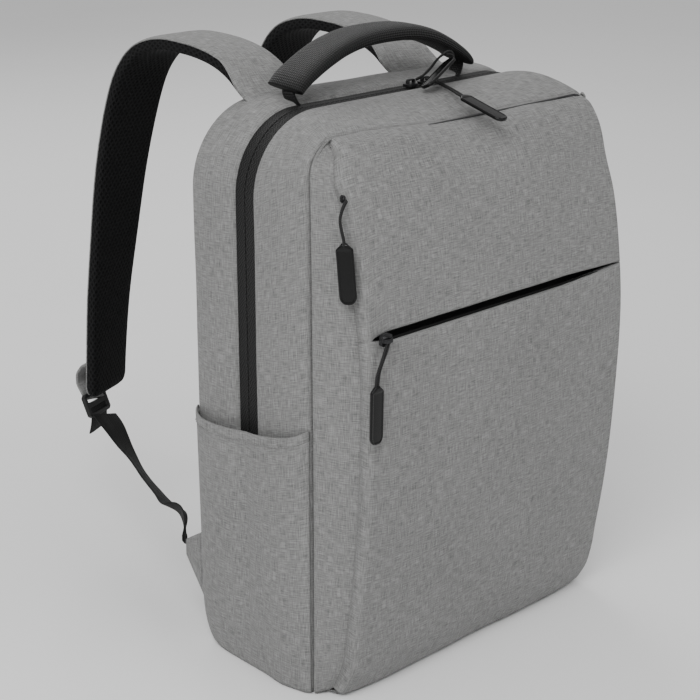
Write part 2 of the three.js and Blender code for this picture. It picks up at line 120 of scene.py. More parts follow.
def spline(points, count, steps=24):
    """Equally spaced points on a Catmull-Rom curve through the given ones."""
    p = np.asarray(points, float)
    p = np.vstack([2 * p[0] - p[1], p, 2 * p[-1] - p[-2]])
    t = (np.arange(steps) / steps)[:, None, None]
    a, b, c, d = p[:-3], p[1:-2], p[2:-1], p[3:]
    q = 0.5 * (2 * b + (c - a) * t + (2 * a - 5 * b + 4 * c - d) * t**2 + (3 * b - a - 3 * c + d) * t**3)
    dense = np.vstack([q.transpose(1, 0, 2).reshape(-1, p.shape[1]), p[-2]])
    far = distances(dense)
    at = np.linspace(0, far[-1], count)
    return np.stack([np.interp(at, far, dense[:, k]) for k in range(p.shape[1])], 1)


FRONT_LINE = [
    (-66, 0), (-80, 25), (-90, 60), (-99, 125), (-104, 210),
    (-103.5, 275), (-94, 345), (-84, 390), (-66, 431),
]
FRONT_CURVE = spline(FRONT_LINE, 200)


def front_y(z):
    """The front panel's y at a height."""
    return np.interp(z, FRONT_CURVE[:, 1], FRONT_CURVE[:, 0])


def strip(length, roll, flange, count, ends=(True, True)):
    """Positions across a strip of cloth, and how deep it lies there. At each of its ends it turns in round a
    quarter circle and goes on inwards by flange, as cloth does at a seam."""
    turn = np.linspace(0, np.pi / 2, 6)
    edge, sunk = roll * (1 - np.cos(turn)), roll * (1 - np.sin(turn))
    at, deep = np.linspace(roll, length - roll, count), np.zeros(count)
    if not ends[0]:
        at = np.linspace(0, length - roll, count)
    if not ends[1]:
        at = np.linspace(at[0], length, count)
    if ends[0]:
        at, deep = np.r_[0, edge[:-1], at], np.r_[roll + flange, sunk[:-1], deep]
    if ends[1]:
        at = np.r_[at, length - edge[-2::-1], length]
        deep = np.r_[deep, sunk[-2::-1], roll + flange]
    return at, deep


def ripple(p, amount):
    """Soft unevenness of stuffed cloth: products of slow sines of the place, at most about amount."""
    x, y, z = p[..., 0], p[..., 1], p[..., 2]
    slow = np.sin(0.031 * x + 0.017 * z + 1.3) * np.sin(0.023 * y + 0.029 * z + 0.4)
    quick = np.sin(0.083 * x - 0.041 * z + 0.7) * np.sin(0.061 * y + 0.052 * z + 2.1)
    return amount * (0.7 * slow + 0.3 * quick)


def tucked(p):
    """Draws the lowest band of a shell in towards the base round part of an ellipse, more at the back."""
    x, y, z = p[..., 0], p[..., 1], p[..., 2]
    rear = smooth(y / 70)
    reach = 8 + 32 * rear
    k = np.clip((reach - z) / reach, 0, 1)
    round_in = 1 - np.sqrt(1 - k * k)
    return np.stack([x * (1 - 0.012 * round_in), y * (1 - (0.015 + 0.185 * rear) * round_in), z], -1)


# ---- Meshes ----
def cloth(name, points, wrap=False, capped=False, inside=None):
    """A mesh from a grid of points (rows, columns, 3). Its UV map "weave" holds the distances in metres along
    the middle row and the middle column. wrap joins the last column to the first, capped closes the first and
    last rows. Faces look away from the point inside, or out of the closed body where there is none."""
    rows, cols = points.shape[:2]
    r, c = np.meshgrid(np.arange(rows - 1), np.arange(cols if wrap else cols - 1), indexing="ij")
    r, c = r.ravel(), c.ravel()
    n = (c + 1) % cols
    quads = np.stack([r * cols + c, r * cols + n, (r + 1) * cols + n, (r + 1) * cols + c], 1)
    middle = points[rows // 2]
    across = distances(np.vstack([middle, middle[:1]]) if wrap else middle)
    up = distances(points[:, cols // 2])
    uv = np.stack([across[np.stack([c, c + 1, c + 1, c], 1)], up[np.stack([r, r, r + 1, r + 1], 1)]], -1) * MM
    flat = points.reshape(-1, 3) * MM
    corner = flat[quads]
    normal = np.cross(corner[:, 2] - corner[:, 0], corner[:, 3] - corner[:, 1])
    centre = flat.mean(0) if inside is None else np.array(inside) * MM
    turned = np.sum(normal * (corner.mean(1) - centre)) < 0
    if turned:
        quads, uv = quads[:, ::-1], uv[:, ::-1]
    faces, uv = quads.tolist(), uv.reshape(-1, 2)
    if capped:
        first, last = list(range(cols)), list(range((rows - 1) * cols, rows * cols))
        faces += [first, last[::-1]] if turned else [first[::-1], last]
        uv = np.vstack([uv, np.zeros((2 * cols, 2))])
    mesh = bpy.data.meshes.new(name)
    mesh.from_pydata(flat.tolist(), [], faces)
    mesh.uv_layers.new(name="weave").data.foreach_set("uv", uv.astype(np.float32).ravel())
    mesh.shade_smooth()
    made = bpy.data.objects.new(name, mesh)
    bpy.context.scene.collection.objects.link(made)
    return made


def joined(name, parts):
    """Several meshes made one piece."""
    with bpy.context.temp_override(active_object=parts[0], selected_editable_objects=parts):
        bpy.ops.object.join()
    parts[0].name = parts[0].data.name = name
    return parts[0]


def walled(piece, thickness):
    """Gives a sheet its thickness, inwards."""
    modifier = piece.modifiers.new("wall", "SOLIDIFY")
    modifier.thickness = thickness * MM
    modifier.offset = -1
    return piece


def frames(path, across):
    """Along each point of a path: its direction, the across direction squared to it, and their normal."""
    ahead = np.gradient(path, axis=0)
    ahead /= np.linalg.norm(ahead, axis=1, keepdims=True)
    side = np.broadcast_to(np.asarray(across, float), path.shape)
    side = side - np.sum(side * ahead, 1, keepdims=True) * ahead
    side = side / np.linalg.norm(side, axis=1, keepdims=True)
    return ahead, side, np.cross(ahead, side)


def swept(path, across, section):
    """A section carried along a path. It holds (across, normal) offsets, for all points or for each."""
    _, side, normal = frames(path, across)
    section = np.broadcast_to(section, (len(path),) + section.shape[-2:])
    return path[:, None] + section[..., :1] * side[:, None] + section[..., 1:] * normal[:, None]


def rounded_section(width, thick, count, square=4.0):
    """A superellipse: a rectangle whose corners are rounded, less so for a greater power."""
    angle = np.arange(count) / count * 2 * np.pi
    c, s = np.cos(angle), np.sin(angle)
    width, thick = np.atleast_1d(width)[:, None], np.atleast_1d(thick)[:, None]
    u = width / 2 * np.sign(c) * np.abs(c) ** (2 / square)
    w = thick / 2 * np.sign(s) * np.abs(s) ** (2 / square)
    return np.stack([u, w + 0 * u], -1)


def laid(points, origin, length, face):
    """Turns points so that x lies along length and z towards face, and moves them to origin."""
    x = np.asarray(length, float)
    x = x / np.linalg.norm(x)
    z = np.asarray(face, float)
    z = z - z @ x * x
    z = z / np.linalg.norm(z)
    return points @ np.stack([x, np.cross(z, x), z]) + np.asarray(origin, float)


def stitched(name, path, normal, pitch=3.4, length=2.5):
    """A row of stitches: each is a bent six-sided tube that rises from the cloth and goes back in."""
    far = distances(path)
    starts = np.arange(pitch / 2, far[-1] - length, pitch)
    t = np.linspace(0, 1, 5)
    at = starts[:, None] + t * length
    line = np.stack([np.interp(at, far, path[:, k]) for k in range(3)], -1)
    normal = np.broadcast_to(np.asarray(normal, float), path.shape)
    up = np.stack([np.interp(at, far, normal[:, k]) for k in range(3)], -1)
    up /= np.linalg.norm(up, axis=-1, keepdims=True)
    line = line + up * (np.sin(np.pi * t) * 0.45 - 0.25)[None, :, None]
    ahead = np.gradient(line, axis=1)
    ahead /= np.linalg.norm(ahead, axis=-1, keepdims=True)
    side = np.cross(ahead, up)
    angle = np.arange(6) / 6 * 2 * np.pi
    ring = np.cos(angle)[:, None] * side[:, :, None] + np.sin(angle)[:, None] * up[:, :, None]
    points = line[:, :, None] + 0.32 * ring
    count = len(starts)
    r, c = np.meshgrid(np.arange(4), np.arange(6), indexing="ij")
    r, c = r.ravel(), c.ravel()
    n = (c + 1) % 6
    quads = np.stack([r * 6 + c, (r + 1) * 6 + c, (r + 1) * 6 + n, r * 6 + n], 1)
    quads = (quads[None] + (np.arange(count) * 30)[:, None, None]).reshape(-1, 4)
    caps = np.stack([np.arange(6), 29 - np.arange(6)])
    caps = (caps[None] + (np.arange(count) * 30)[:, None, None]).reshape(-1, 6)
    mesh = bpy.data.meshes.new(name)
    mesh.from_pydata((points.reshape(-1, 3) * MM).tolist(), [], quads.tolist() + caps.tolist())
    mesh.shade_smooth()
    made = bpy.data.objects.new(name, mesh)
    bpy.context.scene.collection.objects.link(made)
    return made


def reshaped(piece, change):
    """Moves a piece's vertices: change takes their places in metres and gives the new ones."""
    places = np.array([v.co for v in piece.data.vertices])
    piece.data.vertices.foreach_set("co", change(places).ravel())


def flat_band(name, path, across, width, thick):
    """Webbing or folded cloth: a flat rounded section carried along a path."""
    return cloth(name, swept(path, across, rounded_section(width, thick, 28, 5.0)), wrap=True, capped=True)


def bevelled(name, node, width):
    """A CAD node's own shape with its edges rounded."""
    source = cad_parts[node]
    mesh = source.data.copy()
    made = bpy.data.objects.new(name, mesh)
    bpy.context.scene.collection.objects.link(made)
    mesh.materials.clear()
    weld = made.modifiers.new("weld", "WELD")
    weld.merge_threshold = 1e-5
    with bpy.context.temp_override(object=made, active_object=made, selected_objects=[made]):
        bpy.ops.object.modifier_apply(modifier="weld")
    bevel = made.modifiers.new("round", "BEVEL")
    bevel.width = width * MM
    bevel.segments = 3
    bevel.limit_method = "ANGLE"
    bevel.angle_limit = 0.6
    made.data.shade_smooth()
    made.data.set_sharp_from_angle(angle=0.6)
    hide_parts(node)
    return made


# ---- Materials ----
def put(tree, kind, settings=(), **sockets):
    """Adds a node. A socket is named, or numbered as _0, and takes a value or another node's output."""
    made = tree.nodes.new(kind)
    for key, value in dict(settings).items():
        setattr(made, key, value)
    for key, value in sockets.items():
        socket = made.inputs[int(key[1:])] if key[1:].isdigit() else made.inputs[key.replace("_", " ")]
        if isinstance(value, bpy.types.NodeSocket):
            tree.links.new(value, socket)
        else:
            socket.default_value = value
    return made.outputs[0]


def maths(tree, operation, first, second=0.0):
    """A Math node's output."""
    return put(tree, "ShaderNodeMath", {"operation": operation}, _0=first, _1=second)


def started(name, on_cloth):
    """A new material's tree and its coordinates in metres: the piece's own weave map, or the object's."""
    made = bpy.data.materials.new(name)
    made.use_nodes = True
    tree = made.node_tree
    tree.nodes.clear()
    if on_cloth:
        return made, tree, put(tree, "ShaderNodeUVMap", {"uv_map": "weave"})
    return made, tree, tree.nodes.new("ShaderNodeTexCoord").outputs["Object"]


def finished(tree, colour, height, depth, **settings):
    """The shader, with its colour from colour and its bump, depth metres high, from height."""
    bump = put(tree, "ShaderNodeBump", {}, Strength=1.0, Distance=depth, Height=height)
    shader = put(tree, "ShaderNodeBsdfPrincipled", {}, Base_Color=colour, Normal=bump, **settings)
    output = tree.nodes.new("ShaderNodeOutputMaterial")
    tree.links.new(shader, output.inputs["Surface"])


def stretched_noise(tree, where, scale, detail=2.0):
    """Noise whose grain is 1 / scale metres long on each axis."""
    mapped = put(tree, "ShaderNodeMapping", {}, Vector=where, Scale=scale)
    return put(tree, "ShaderNodeTexNoise", {}, Vector=mapped, Scale=1.0, Detail=detail, Roughness=0.55)


def blended(tree, factor, dark, light, low=0.0, high=1.0):
    """A colour from dark to light as the factor goes from low to high."""
    ramp = tree.nodes.new("ShaderNodeValToRGB")
    ramp.color_ramp.elements[0].position, ramp.color_ramp.elements[1].position = low, high
    ramp.color_ramp.elements[0].color = (*dark, 1)
    ramp.color_ramp.elements[1].color = (*light, 1)
    tree.links.new(factor, ramp.inputs["Fac"])
    return ramp.outputs["Color"]


def sine(tree, coordinate, pitch):
    """A wave from -1 to 1 whose length is pitch metres."""
    return maths(tree, "SINE", maths(tree, "MULTIPLY", coordinate, 2 * np.pi / pitch))


def melange(name, dark, light):
    """Two-tone cloth: slubs of lighter and darker yarn run both ways, over a fine plain weave."""
    made, tree, where = started(name, True)
    warp = stretched_noise(tree, where, (1500, 105, 1))
    weft = stretched_noise(tree, where, (105, 1500, 1))
    grain = stretched_noise(tree, where, (1900, 1900, 1900), 1.0)
    cloud = stretched_noise(tree, where, (13, 13, 13), 2.0)
    yarns = maths(tree, "ADD", maths(tree, "MULTIPLY", warp, 0.38), maths(tree, "MULTIPLY", weft, 0.42))
    yarns = maths(tree, "ADD", yarns, maths(tree, "MULTIPLY", grain, 0.09))
    yarns = maths(tree, "ADD", yarns, maths(tree, "MULTIPLY", cloud, 0.05))
    colour = blended(tree, yarns, dark, light, 0.36, 0.6)
    finished(
        tree, colour, yarns, 0.0005,
        Roughness=0.88, Specular_IOR_Level=0.2, Sheen_Weight=0.08, Sheen_Roughness=0.45,
    )
    return made


def ribbed(name, colour, pitch, across_pitch, depth, roughness=0.7, highlight_lift=2.2):
    """Black webbing or tape: ribs across and chevron ridges along, with a painted highlight where a yarn
    stands up.
    """
    made, tree, where = started(name, True)
    parts = tree.nodes.new("ShaderNodeSeparateXYZ")
    tree.links.new(where, parts.inputs[0])
    u, v = parts.outputs["X"], parts.outputs["Y"]
    zigzag = put(tree, "ShaderNodeMath", {"operation": "PINGPONG"}, _0=u, _1=across_pitch)
    ribs = sine(tree, maths(tree, "ADD", v, zigzag), pitch)
    yarn = sine(tree, u, across_pitch / 2.5)
    grain = stretched_noise(tree, where, (900, 900, 900), 2.0)
    height = maths(tree, "ADD", maths(tree, "MULTIPLY", ribs, 0.35), maths(tree, "MULTIPLY", yarn, 0.2))
    height = maths(tree, "ADD", height, maths(tree, "MULTIPLY", grain, 0.5))
    # painted highlight: the colour grows lighter towards the tops of the ribs and yarns
    lighter = tuple(c * highlight_lift for c in colour)
    shade = blended(tree, height, colour, lighter, 0.0, 0.9)
    finished(tree, shade, height, depth, Roughness=roughness, Specular_IOR_Level=0.22)
    return made


def basket(name, colour, pitch, depth, highlight_lift=3.0):
    """Coarse ballistic weave: square yarn crossings, each a small, fairly glossy bump with a painted highlight
    on its top.
    """
    made, tree, where = started(name, True)
    parts = tree.nodes.new("ShaderNodeSeparateXYZ")
    tree.links.new(where, parts.inputs[0])
    u, v = parts.outputs["X"], parts.outputs["Y"]
    bumps = maths(tree, "MULTIPLY", sine(tree, u, pitch), sine(tree, v, pitch))
    bumps = maths(tree, "ABSOLUTE", bumps)
    grain = stretched_noise(tree, where, (500, 500, 500), 2.0)
    height = maths(tree, "ADD", bumps, maths(tree, "MULTIPLY", grain, 0.35))
    # painted highlight: the bumps' tops are painted many times lighter than the black yarn
    shade = blended(tree, height, colour, tuple(c * highlight_lift for c in colour), 0.2, 1.3)
    finished(tree, shade, height, depth, Roughness=0.45, Specular_IOR_Level=0.3)
    return made


def spacer(name, colour, cell, depth):
    """Spacer mesh: a net of raised threads round small round holes, with a painted highlight on the threads
    and painted shade in the holes.
    """
    made, tree, where = started(name, True)
    parts = tree.nodes.new("ShaderNodeSeparateXYZ")
    tree.links.new(where, parts.inputs[0])
    u, v = parts.outputs["X"], parts.outputs["Y"]
    first = sine(tree, maths(tree, "ADD", u, maths(tree, "MULTIPLY", v, 0.6)), cell)
    second = sine(tree, maths(tree, "SUBTRACT", u, maths(tree, "MULTIPLY", v, 0.6)), cell)
    net = maths(tree, "MAXIMUM", first, second)
    grain = stretched_noise(tree, where, (1200, 1200, 1200), 2.0)
    height = maths(tree, "ADD", maths(tree, "MULTIPLY", net, 0.6), maths(tree, "MULTIPLY", grain, 0.4))
    # painted highlight on the raised threads and painted shade in the holes, both from the height
    shade = blended(tree, height, tuple(c * 0.5 for c in colour), tuple(c * 2.4 for c in colour), 0.0, 0.9)
    finished(tree, shade, height, depth, Roughness=0.8, Specular_IOR_Level=0.12)
    return made


def moulded(name, colour, grain_scale, depth, roughness, metallic=0.0):
    """Moulded or painted surface: fine grain, and a colour that is faintly uneven at random."""
    made, tree, where = started(name, False)
    grain = stretched_noise(tree, where, (grain_scale,) * 3, 3.0)
    cloud = stretched_noise(tree, where, (60, 60, 60), 3.0)
    mixed = maths(tree, "ADD", maths(tree, "MULTIPLY", grain, 0.5), maths(tree, "MULTIPLY", cloud, 0.5))
    shade = blended(tree, mixed, tuple(c * 0.7 for c in colour), tuple(c * 1.6 for c in colour), 0.3, 0.7)
    finished(tree, shade, grain, depth, Roughness=roughness, Metallic=metallic, Specular_IOR_Level=0.27)
    return made


GREY = melange("grey_melange", (0.115, 0.115, 0.1135), (0.3, 0.3, 0.296))
STRAP_GREY = melange("strap_melange", (0.115, 0.115, 0.1135), (0.3, 0.3, 0.296))
DARK_LINING = melange("dark_lining", (0.02, 0.02, 0.021), (0.05, 0.05, 0.052))
BOARD = moulded("base_board_fibre", (0.09, 0.08, 0.07), 700, 0.0003, 0.8)
# The ribbed, basket and spacer cloths below carry a painted highlight on their raised yarns, and the spacer
# painted shade in its holes.
ZIP_TAPE = ribbed("zip_tape_herringbone", (0.004, 0.004, 0.004), 0.0026, 0.0026, 0.0005, 0.6, 9.0)
WEBBING = ribbed("ribbed_webbing", (0.007, 0.007, 0.007), 0.0012, 0.006, 0.0004)
HANDLE_CLOTH = basket("coarse_handle_weave", (0.002, 0.002, 0.002), 0.0038, 0.0009, 9.0)
SPACER = spacer("spacer_mesh", (0.005, 0.005, 0.0052), 0.0042, 0.0007)
CORD_BRAID = ribbed("braided_cord", (0.012, 0.012, 0.012), 0.0016, 0.0012, 0.0002, 0.55)
RUBBER = moulded("pull_rubber", (0.002, 0.002, 0.002), 1500, 0.00006, 0.26)
PLASTIC = moulded("lock_plastic", (0.01, 0.01, 0.01), 1100, 0.00006, 0.38)
METAL = moulded("slider_paint", (0.02, 0.02, 0.021), 900, 0.00005, 0.32, 0.4)
TAPE_SOLID = moulded("hidden_tape", (0.003, 0.003, 0.003), 1600, 0.0002, 0.9)
THREAD = moulded("grey_thread", (0.2, 0.2, 0.198), 2500, 0.0001, 0.8)


def dressed(piece, material, body=None, lid=False, replaced=()):
    """Gives a piece its material and the body it rides on, and hides the CAD nodes it replaces. A lid piece
    instead has its place baked into its mesh.
    """
    piece.data.materials.clear()
    piece.data.materials.append(material)
    if replaced:
        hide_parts(*replaced)
    if lid:
        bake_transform(piece)
    elif body:
        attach(piece, body)
    return piece


# ---- Shells that follow the arch ----
def arch(half, top, radius, share, low):
    """Up the left side, round a quarter circle, over the top, round and down the right side: x, z and the
    outward normal's x and z. The right corner's radius is share of the left one's. half, top, radius and share
    hold one value for each section, and the results one row for each."""
    side, corner, over = 70, 16, 50  # points on each stretch
    columns = np.broadcast_arrays(half, top, radius, share)
    half, top, radius, share = (np.reshape(a, (-1, 1)).astype(float) for a in columns)
    right = radius * share
    turn = np.linspace(0, np.pi / 2, corner)
    rise = np.linspace(0, 1, side)
    x = np.hstack([
        -half + 0 * rise, radius - half - radius * np.cos(turn[1:]),
        radius - half + (2 * half - radius - right) * np.linspace(0, 1, over)[1:],
        half - right + right * np.sin(turn[1:]), half + 0 * rise[1:],
    ])
    z = np.hstack([
        low + (top - radius - low) * rise, top - radius + radius * np.sin(turn[1:]),
        top + 0 * np.zeros(over - 1),
        top - right + right * np.cos(turn[1:]), low + (top - right - low) * rise[::-1][1:],
    ])
    one = np.ones((len(half), 1))
    sine_in, cosine_in = np.sin(turn[1:]), np.cos(turn[1:])
    nx = one * np.r_[-np.ones(side), -cosine_in, np.zeros(over - 1), sine_in, np.ones(side - 1)]
    nz = one * np.r_[np.zeros(side), sine_in, np.ones(over - 1), cosine_in, np.zeros(side - 1)]
    return x, z, nx, nz


def over_shoulder(z):
    """0 on the pack's sides, 1 over its top."""
    return smooth((z - SHOULDER_Z) / SHOULDER_RISE)


def sag(x, z):
    """How far the seam over the top sinks, from its left corner to its right one."""
    return SEAM_SAG * smooth((x + 110) / 130) * over_shoulder(z)


def shell(name, y_from, y_to, first, second, crown, flange=5, swell=0.0):
    """A band of cloth over the arch from one section (half width, top, left radius, right corner's share) to
    another. It bows out by crown between its two seams and turns in at both. swell lifts the top's right part,
    and a band with a swell also sinks to meet the sagging seam."""
    span = y_to - y_from
    at, deep = strip(abs(span), SHELL_ROLL, flange, 16)
    share = at / abs(span)
    section = ((1 - share) * a + share * b for a, b in zip(first, second))
    x, z, nx, nz = arch(*section, FLOOR_Z)
    y = y_from + np.sign(span) * at[:, None] + 0 * x
    out = crown * np.sin(np.pi * share)[:, None] ** 0.7 - deep[:, None]
    points = np.stack([x, y, z], -1)
    out = out + ripple(points, SHELL_WAVE) * (np.sin(np.pi * share) ** 0.5)[:, None]
    out = out + swell * smooth((x + 20) / 120) * over_shoulder(z) * np.sin(np.pi * share)[:, None]
    points = points + out[..., None] * np.stack([nx, 0 * nx, nz], -1)
    if swell:
        points[..., 2] -= sag(x, z) * smooth(share)[:, None]
    return cloth(name, tucked(points), inside=MIDDLE)


def tape(name, y_from, y_to, coil_y, low):
    """Half of the main zip: a flat tape under the cloth's level, with a ridge over the coil at coil_y."""
    at = np.linspace(y_from, y_to, 14)
    ridge = 0.45 * np.exp(-(((at - coil_y) / 0.8) ** 2))
    x, z, nx, nz = arch(HALF_WIDTH + 0 * at, TOP, ZIP_CORNER, RIGHT_CORNER, low)
    out = (ridge - 1.4)[:, None]
    points = np.stack([x + out * nx, at[:, None] + 0 * x, z + out * nz], -1)
    return cloth(name, tucked(points), inside=MIDDLE)


zip_section = (HALF_WIDTH, TOP, ZIP_CORNER, RIGHT_CORNER)
rear_section = (HALF_WIDTH, BACK_TOP, BACK_CORNER, RIGHT_CORNER)
seam_section = (HALF_WIDTH, SEAM_TOP, SEAM_CORNER, RIGHT_SEAM_CORNER)

rear_shell = shell("rear_shell", TAPE_BACK, BACK - 0.3, zip_section, rear_section, 4.0)
dressed(
    walled(rear_shell, 2.4), GREY, "main",
    replaced=("rear_gusset", "side_panel_left", "side_panel_right"),
)
front_shell = shell(
    "front_shell", TAPE_FRONT, SEAM_Y + 0.9, zip_section, seam_section, 3.0, flange=3.5, swell=2.6
)
dressed(walled(front_shell, 2.4), GREY, lid=True, replaced=("front_gusset",))
tape_rear = tape("zip_tape_rear", ZIP_Y + 0.25, TAPE_BACK + 1.5, ZIP_Y + 1.5, 20)
dressed(walled(tape_rear, 0.9), ZIP_TAPE, "main", replaced=("main_zip_tape_rear",))
tape_front = tape("zip_tape_front", TAPE_FRONT - 1.5, ZIP_Y - 0.25, ZIP_Y - 1.5, 20)
dressed(walled(tape_front, 0.9), ZIP_TAPE, lid=True, replaced=("main_zip_tape_front",))

# ---- Front panel ----
PANEL_HEIGHTS = [FLOOR_Z, 15, 25, 42, 60, 90, 125, 165, 210, 245, 275, 310, 345, 372]
PANEL_TOP = [(-81, 398), (-72.5, 416), (-63, 428), (-50.2, 433.8)]
PANEL_LOW = 6  # how far the panel's foot stands forward of the curve
panel_line = spline(
    [(front_y(z) - PANEL_LOW * smooth((70 - z) / 70), z) for z in PANEL_HEIGHTS] + PANEL_TOP, 400
)
panel_far = distances(panel_line)
PANEL_LENGTH = panel_far[-1]
slit_far = np.interp(SLIT_Z, panel_line[:, 1], panel_far)


def panel_frame(far):
    """The front panel's y and z at a distance along its line, and the outward normal there."""
    y, z = (np.interp(far, panel_far, panel_line[:, k]) for k in range(2))
    dy, dz = (np.interp(far, panel_far, np.gradient(panel_line[:, k], panel_far)) for k in range(2))
    size = np.hypot(dy, dz)
    return y, z, -dz / size, dy / size


def panel_half(far, side):
    """How far each lip of the panel is from its middle: less for the left one, and least at its top."""
    near_top = smooth((far - PANEL_LENGTH + 42) / 42)
    return np.where(side < 0, LIP_LEFT - (LIP_LEFT - LIP_TOP_LEFT) * near_top, LIP_HALF)


def panel_points(x, far, deep):
    """Places on the front panel, sunk by deep below its crowned face. It drops away at the arch's round
    corners, sags to the right along the seam, and has a dip under its right shoulder."""
    x, far, deep = np.broadcast_arrays(x, far, deep)
    y, z, ny, nz = panel_frame(far)
    radius = np.where(x < 0, SEAM_CORNER, SEAM_CORNER * RIGHT_SEAM_CORNER)
    corner = np.clip(np.abs(x) - (HALF_WIDTH - radius), 0, radius - 0.5)
    drop = radius - np.sqrt(radius**2 - corner**2) + sag(x, 500)
    near_seam = smooth((far - PANEL_LENGTH + 55) / 55)
    hollow = RIGHT_HOLLOW * smooth((x - 40) / 90) * np.exp(-(((z - HOLLOW_Z) / HOLLOW_SPREAD) ** 2))
    drop = drop * near_seam + hollow
    x = x + PANEL_SHIFT * (1 - near_seam)
    edge = np.abs(x) / LIP_HALF
    crown = 3.5 * edge**4 * (1 - near_seam)
    face = np.stack([x, y, z], -1)
    sunk = deep + drop + crown - ripple(face, 1.2) * (1 - edge**6)
    return np.stack([x, y - sunk * ny, z - sunk * nz], -1)


def front_panel(name, start, end, opening):
    """The panel's cloth between two distances along its line. opening is 1 where it ends in the slit's lower
    lip, -1 in the upper one. The lip bows away from the slit's line, joins it at both ends, and loses its roll
    where the slit is shut."""
    across, sunk_x = strip(2 * LIP_HALF, LIP_ROLL, LIP_FLANGE, 90)
    length = end - start
    up, sunk_up = strip(length, 2.4, LIP_FLANGE, 110)
    u = across / LIP_HALF - 1
    place = np.where(u < 0, LIP_LEFT, LIP_HALF) * u
    rise = np.clip((place - SLIT_ENDS[0]) / SLIT_RISE, 0, 1) ** 0.8
    fall = np.clip((SLIT_ENDS[1] - place) / SLIT_FALL, 0, 1) ** 0.75
    gap = SLIT_GAP * rise * fall
    at_slit = np.clip(gap / 0.8, 0.06, 1)
    by_slit = up > length / 2 if opening > 0 else up < length / 2
    if opening > 0:
        far = start + up[:, None] * (length - gap[None]) / length
    else:
        far = start + gap[None] + up[:, None] * (length - gap[None]) / length
    x = u[None] * panel_half(far, u[None])
    deep = sunk_x[None] + sunk_up[:, None] * np.where(by_slit[:, None], at_slit[None], 1)
    return cloth(name, tucked(panel_points(x, far, deep)), inside=MIDDLE)


panel_lower = front_panel("panel_lower", 0, slit_far, 1)
dressed(
    walled(panel_lower, 2.0), GREY, lid=True,
    replaced=("front_panel_lower", "front_fold", "front_panel_middle"),
)
panel_upper = front_panel("panel_upper", slit_far, PANEL_LENGTH, -1)
dressed(walled(panel_upper, 2.0), GREY, "front_lid", replaced=("front_panel_upper",))


def side_strip(name, side):
    """The cloth between the seam at the arch and the panel's lip: lines from one edge curve to the other,
    bowed out, less where the strip is narrow."""
    rows, cols, roll = 170, 16, 0.09
    radius, turn = (SEAM_CORNER, 1.27) if side < 0 else (SEAM_CORNER * RIGHT_SEAM_CORNER, 1.0)
    straight = SEAM_TOP - radius - FLOOR_Z
    turn = np.linspace(0, turn, 24)
    z = np.r_[np.linspace(0, 1, rows - 24) * straight + FLOOR_Z, SEAM_TOP - radius + radius * np.sin(turn)]
    x = side * np.r_[np.full(rows - 24, HALF_WIDTH), HALF_WIDTH - radius + radius * np.cos(turn)]
    seam = np.stack([x, np.full(rows, SEAM_Y - 0.9), z - sag(x, z)], -1)
    far = distances(seam)
    far = far / far[-1] * PANEL_LENGTH
    depth = 8.5 - 3 * smooth((far - PANEL_LENGTH + 60) / 60)
    lip = panel_points(side * (panel_half(far, side) - 3.2), far, depth)
    at, deep = strip(1, roll, 0.1, cols, (True, False))
    width = np.linalg.norm(lip - seam, axis=1)
    points = seam[:, None] + (lip - seam)[:, None] * at[None, :, None]
    bow = np.sin(np.pi * at) * 2.0 - np.where(deep > 0, deep / roll * 3.2, 0)
    points[..., 0] += side * bow[None] * np.clip(width / 40, 0.2, 1)[:, None]
    return cloth(name, tucked(points), inside=MIDDLE)


for name, side in SIDES:
    replaced = (f"front_gusset_lower_{name}",) + (("front_compartment_gusset",) if side < 0 else ())
    strip_cloth = walled(side_strip(f"side_strip_{name}", side), 1.8)
    dressed(strip_cloth, GREY, lid=True, replaced=replaced)

for node in ("slit_zip_tape_upper", "slit_zip_tape_lower"):
    edge = bevelled(f"{node}_edge", node, 0.3)
    reshaped(edge, lambda p: p * (SLIT_TAPE_SHARE, 1, 1) + (SLIT_TAPE_SHIFT * MM, 0, 0))
    dressed(edge, TAPE_SOLID, "front_lid")

# The hidden zip's tape lies under the left lip, on edge, between two heights.
far = np.linspace(*np.interp((212, 400), panel_line[:, 1], panel_far), 80)[:, None]
hidden_points = panel_points(-LIP_LEFT + 8 + 0 * far, far, np.linspace(7, 13, 6)[None])
hidden = cloth("hidden_zip_tape", hidden_points, inside=MIDDLE)
dressed(walled(hidden, 0.9), ZIP_TAPE, "front_lid", replaced=("side_zip_tape",))


# ---- Flat sheets: back, dividers, sleeve, pocket lining ----
def arched_sheet(name, y, half, top, radius, low, bow):
    """A sheet in the xz plane within an arch's outline, whose right corner is the tighter one. It is bowed by
    bow in its middle, and its side edges turn the other way."""
    roll, share = 2.0, 0.02
    turn = np.linspace(0, np.pi / 2, 21)[1:]
    z = np.r_[np.linspace(low, top - radius, 50), top - radius + radius * np.sin(turn)]
    u, deep = strip(2, share, 0.0, 60)
    corner = np.array([[radius], [radius * RIGHT_CORNER]])
    rise = np.clip(z - top + corner, 0, corner)
    left, right = half - corner + np.sqrt(np.clip(corner**2 - rise**2, 0, None))
    x = (u[None] - 1) * np.where(u < 1, left[:, None], right[:, None])
    tall = np.clip((z - low) / (top - low), 0, 1)
    bulge = bow * (1 - (u[None] - 1) ** 4) * np.sin(np.pi * tall)[:, None] ** 0.5
    away = np.sign(bow) * (deep / share * roll)[None]
    points = np.stack([x, y + bulge - away, z[:, None] + 0 * x], -1)
    return cloth(name, points, inside=(0, y - np.sign(bow) * 100, 200))


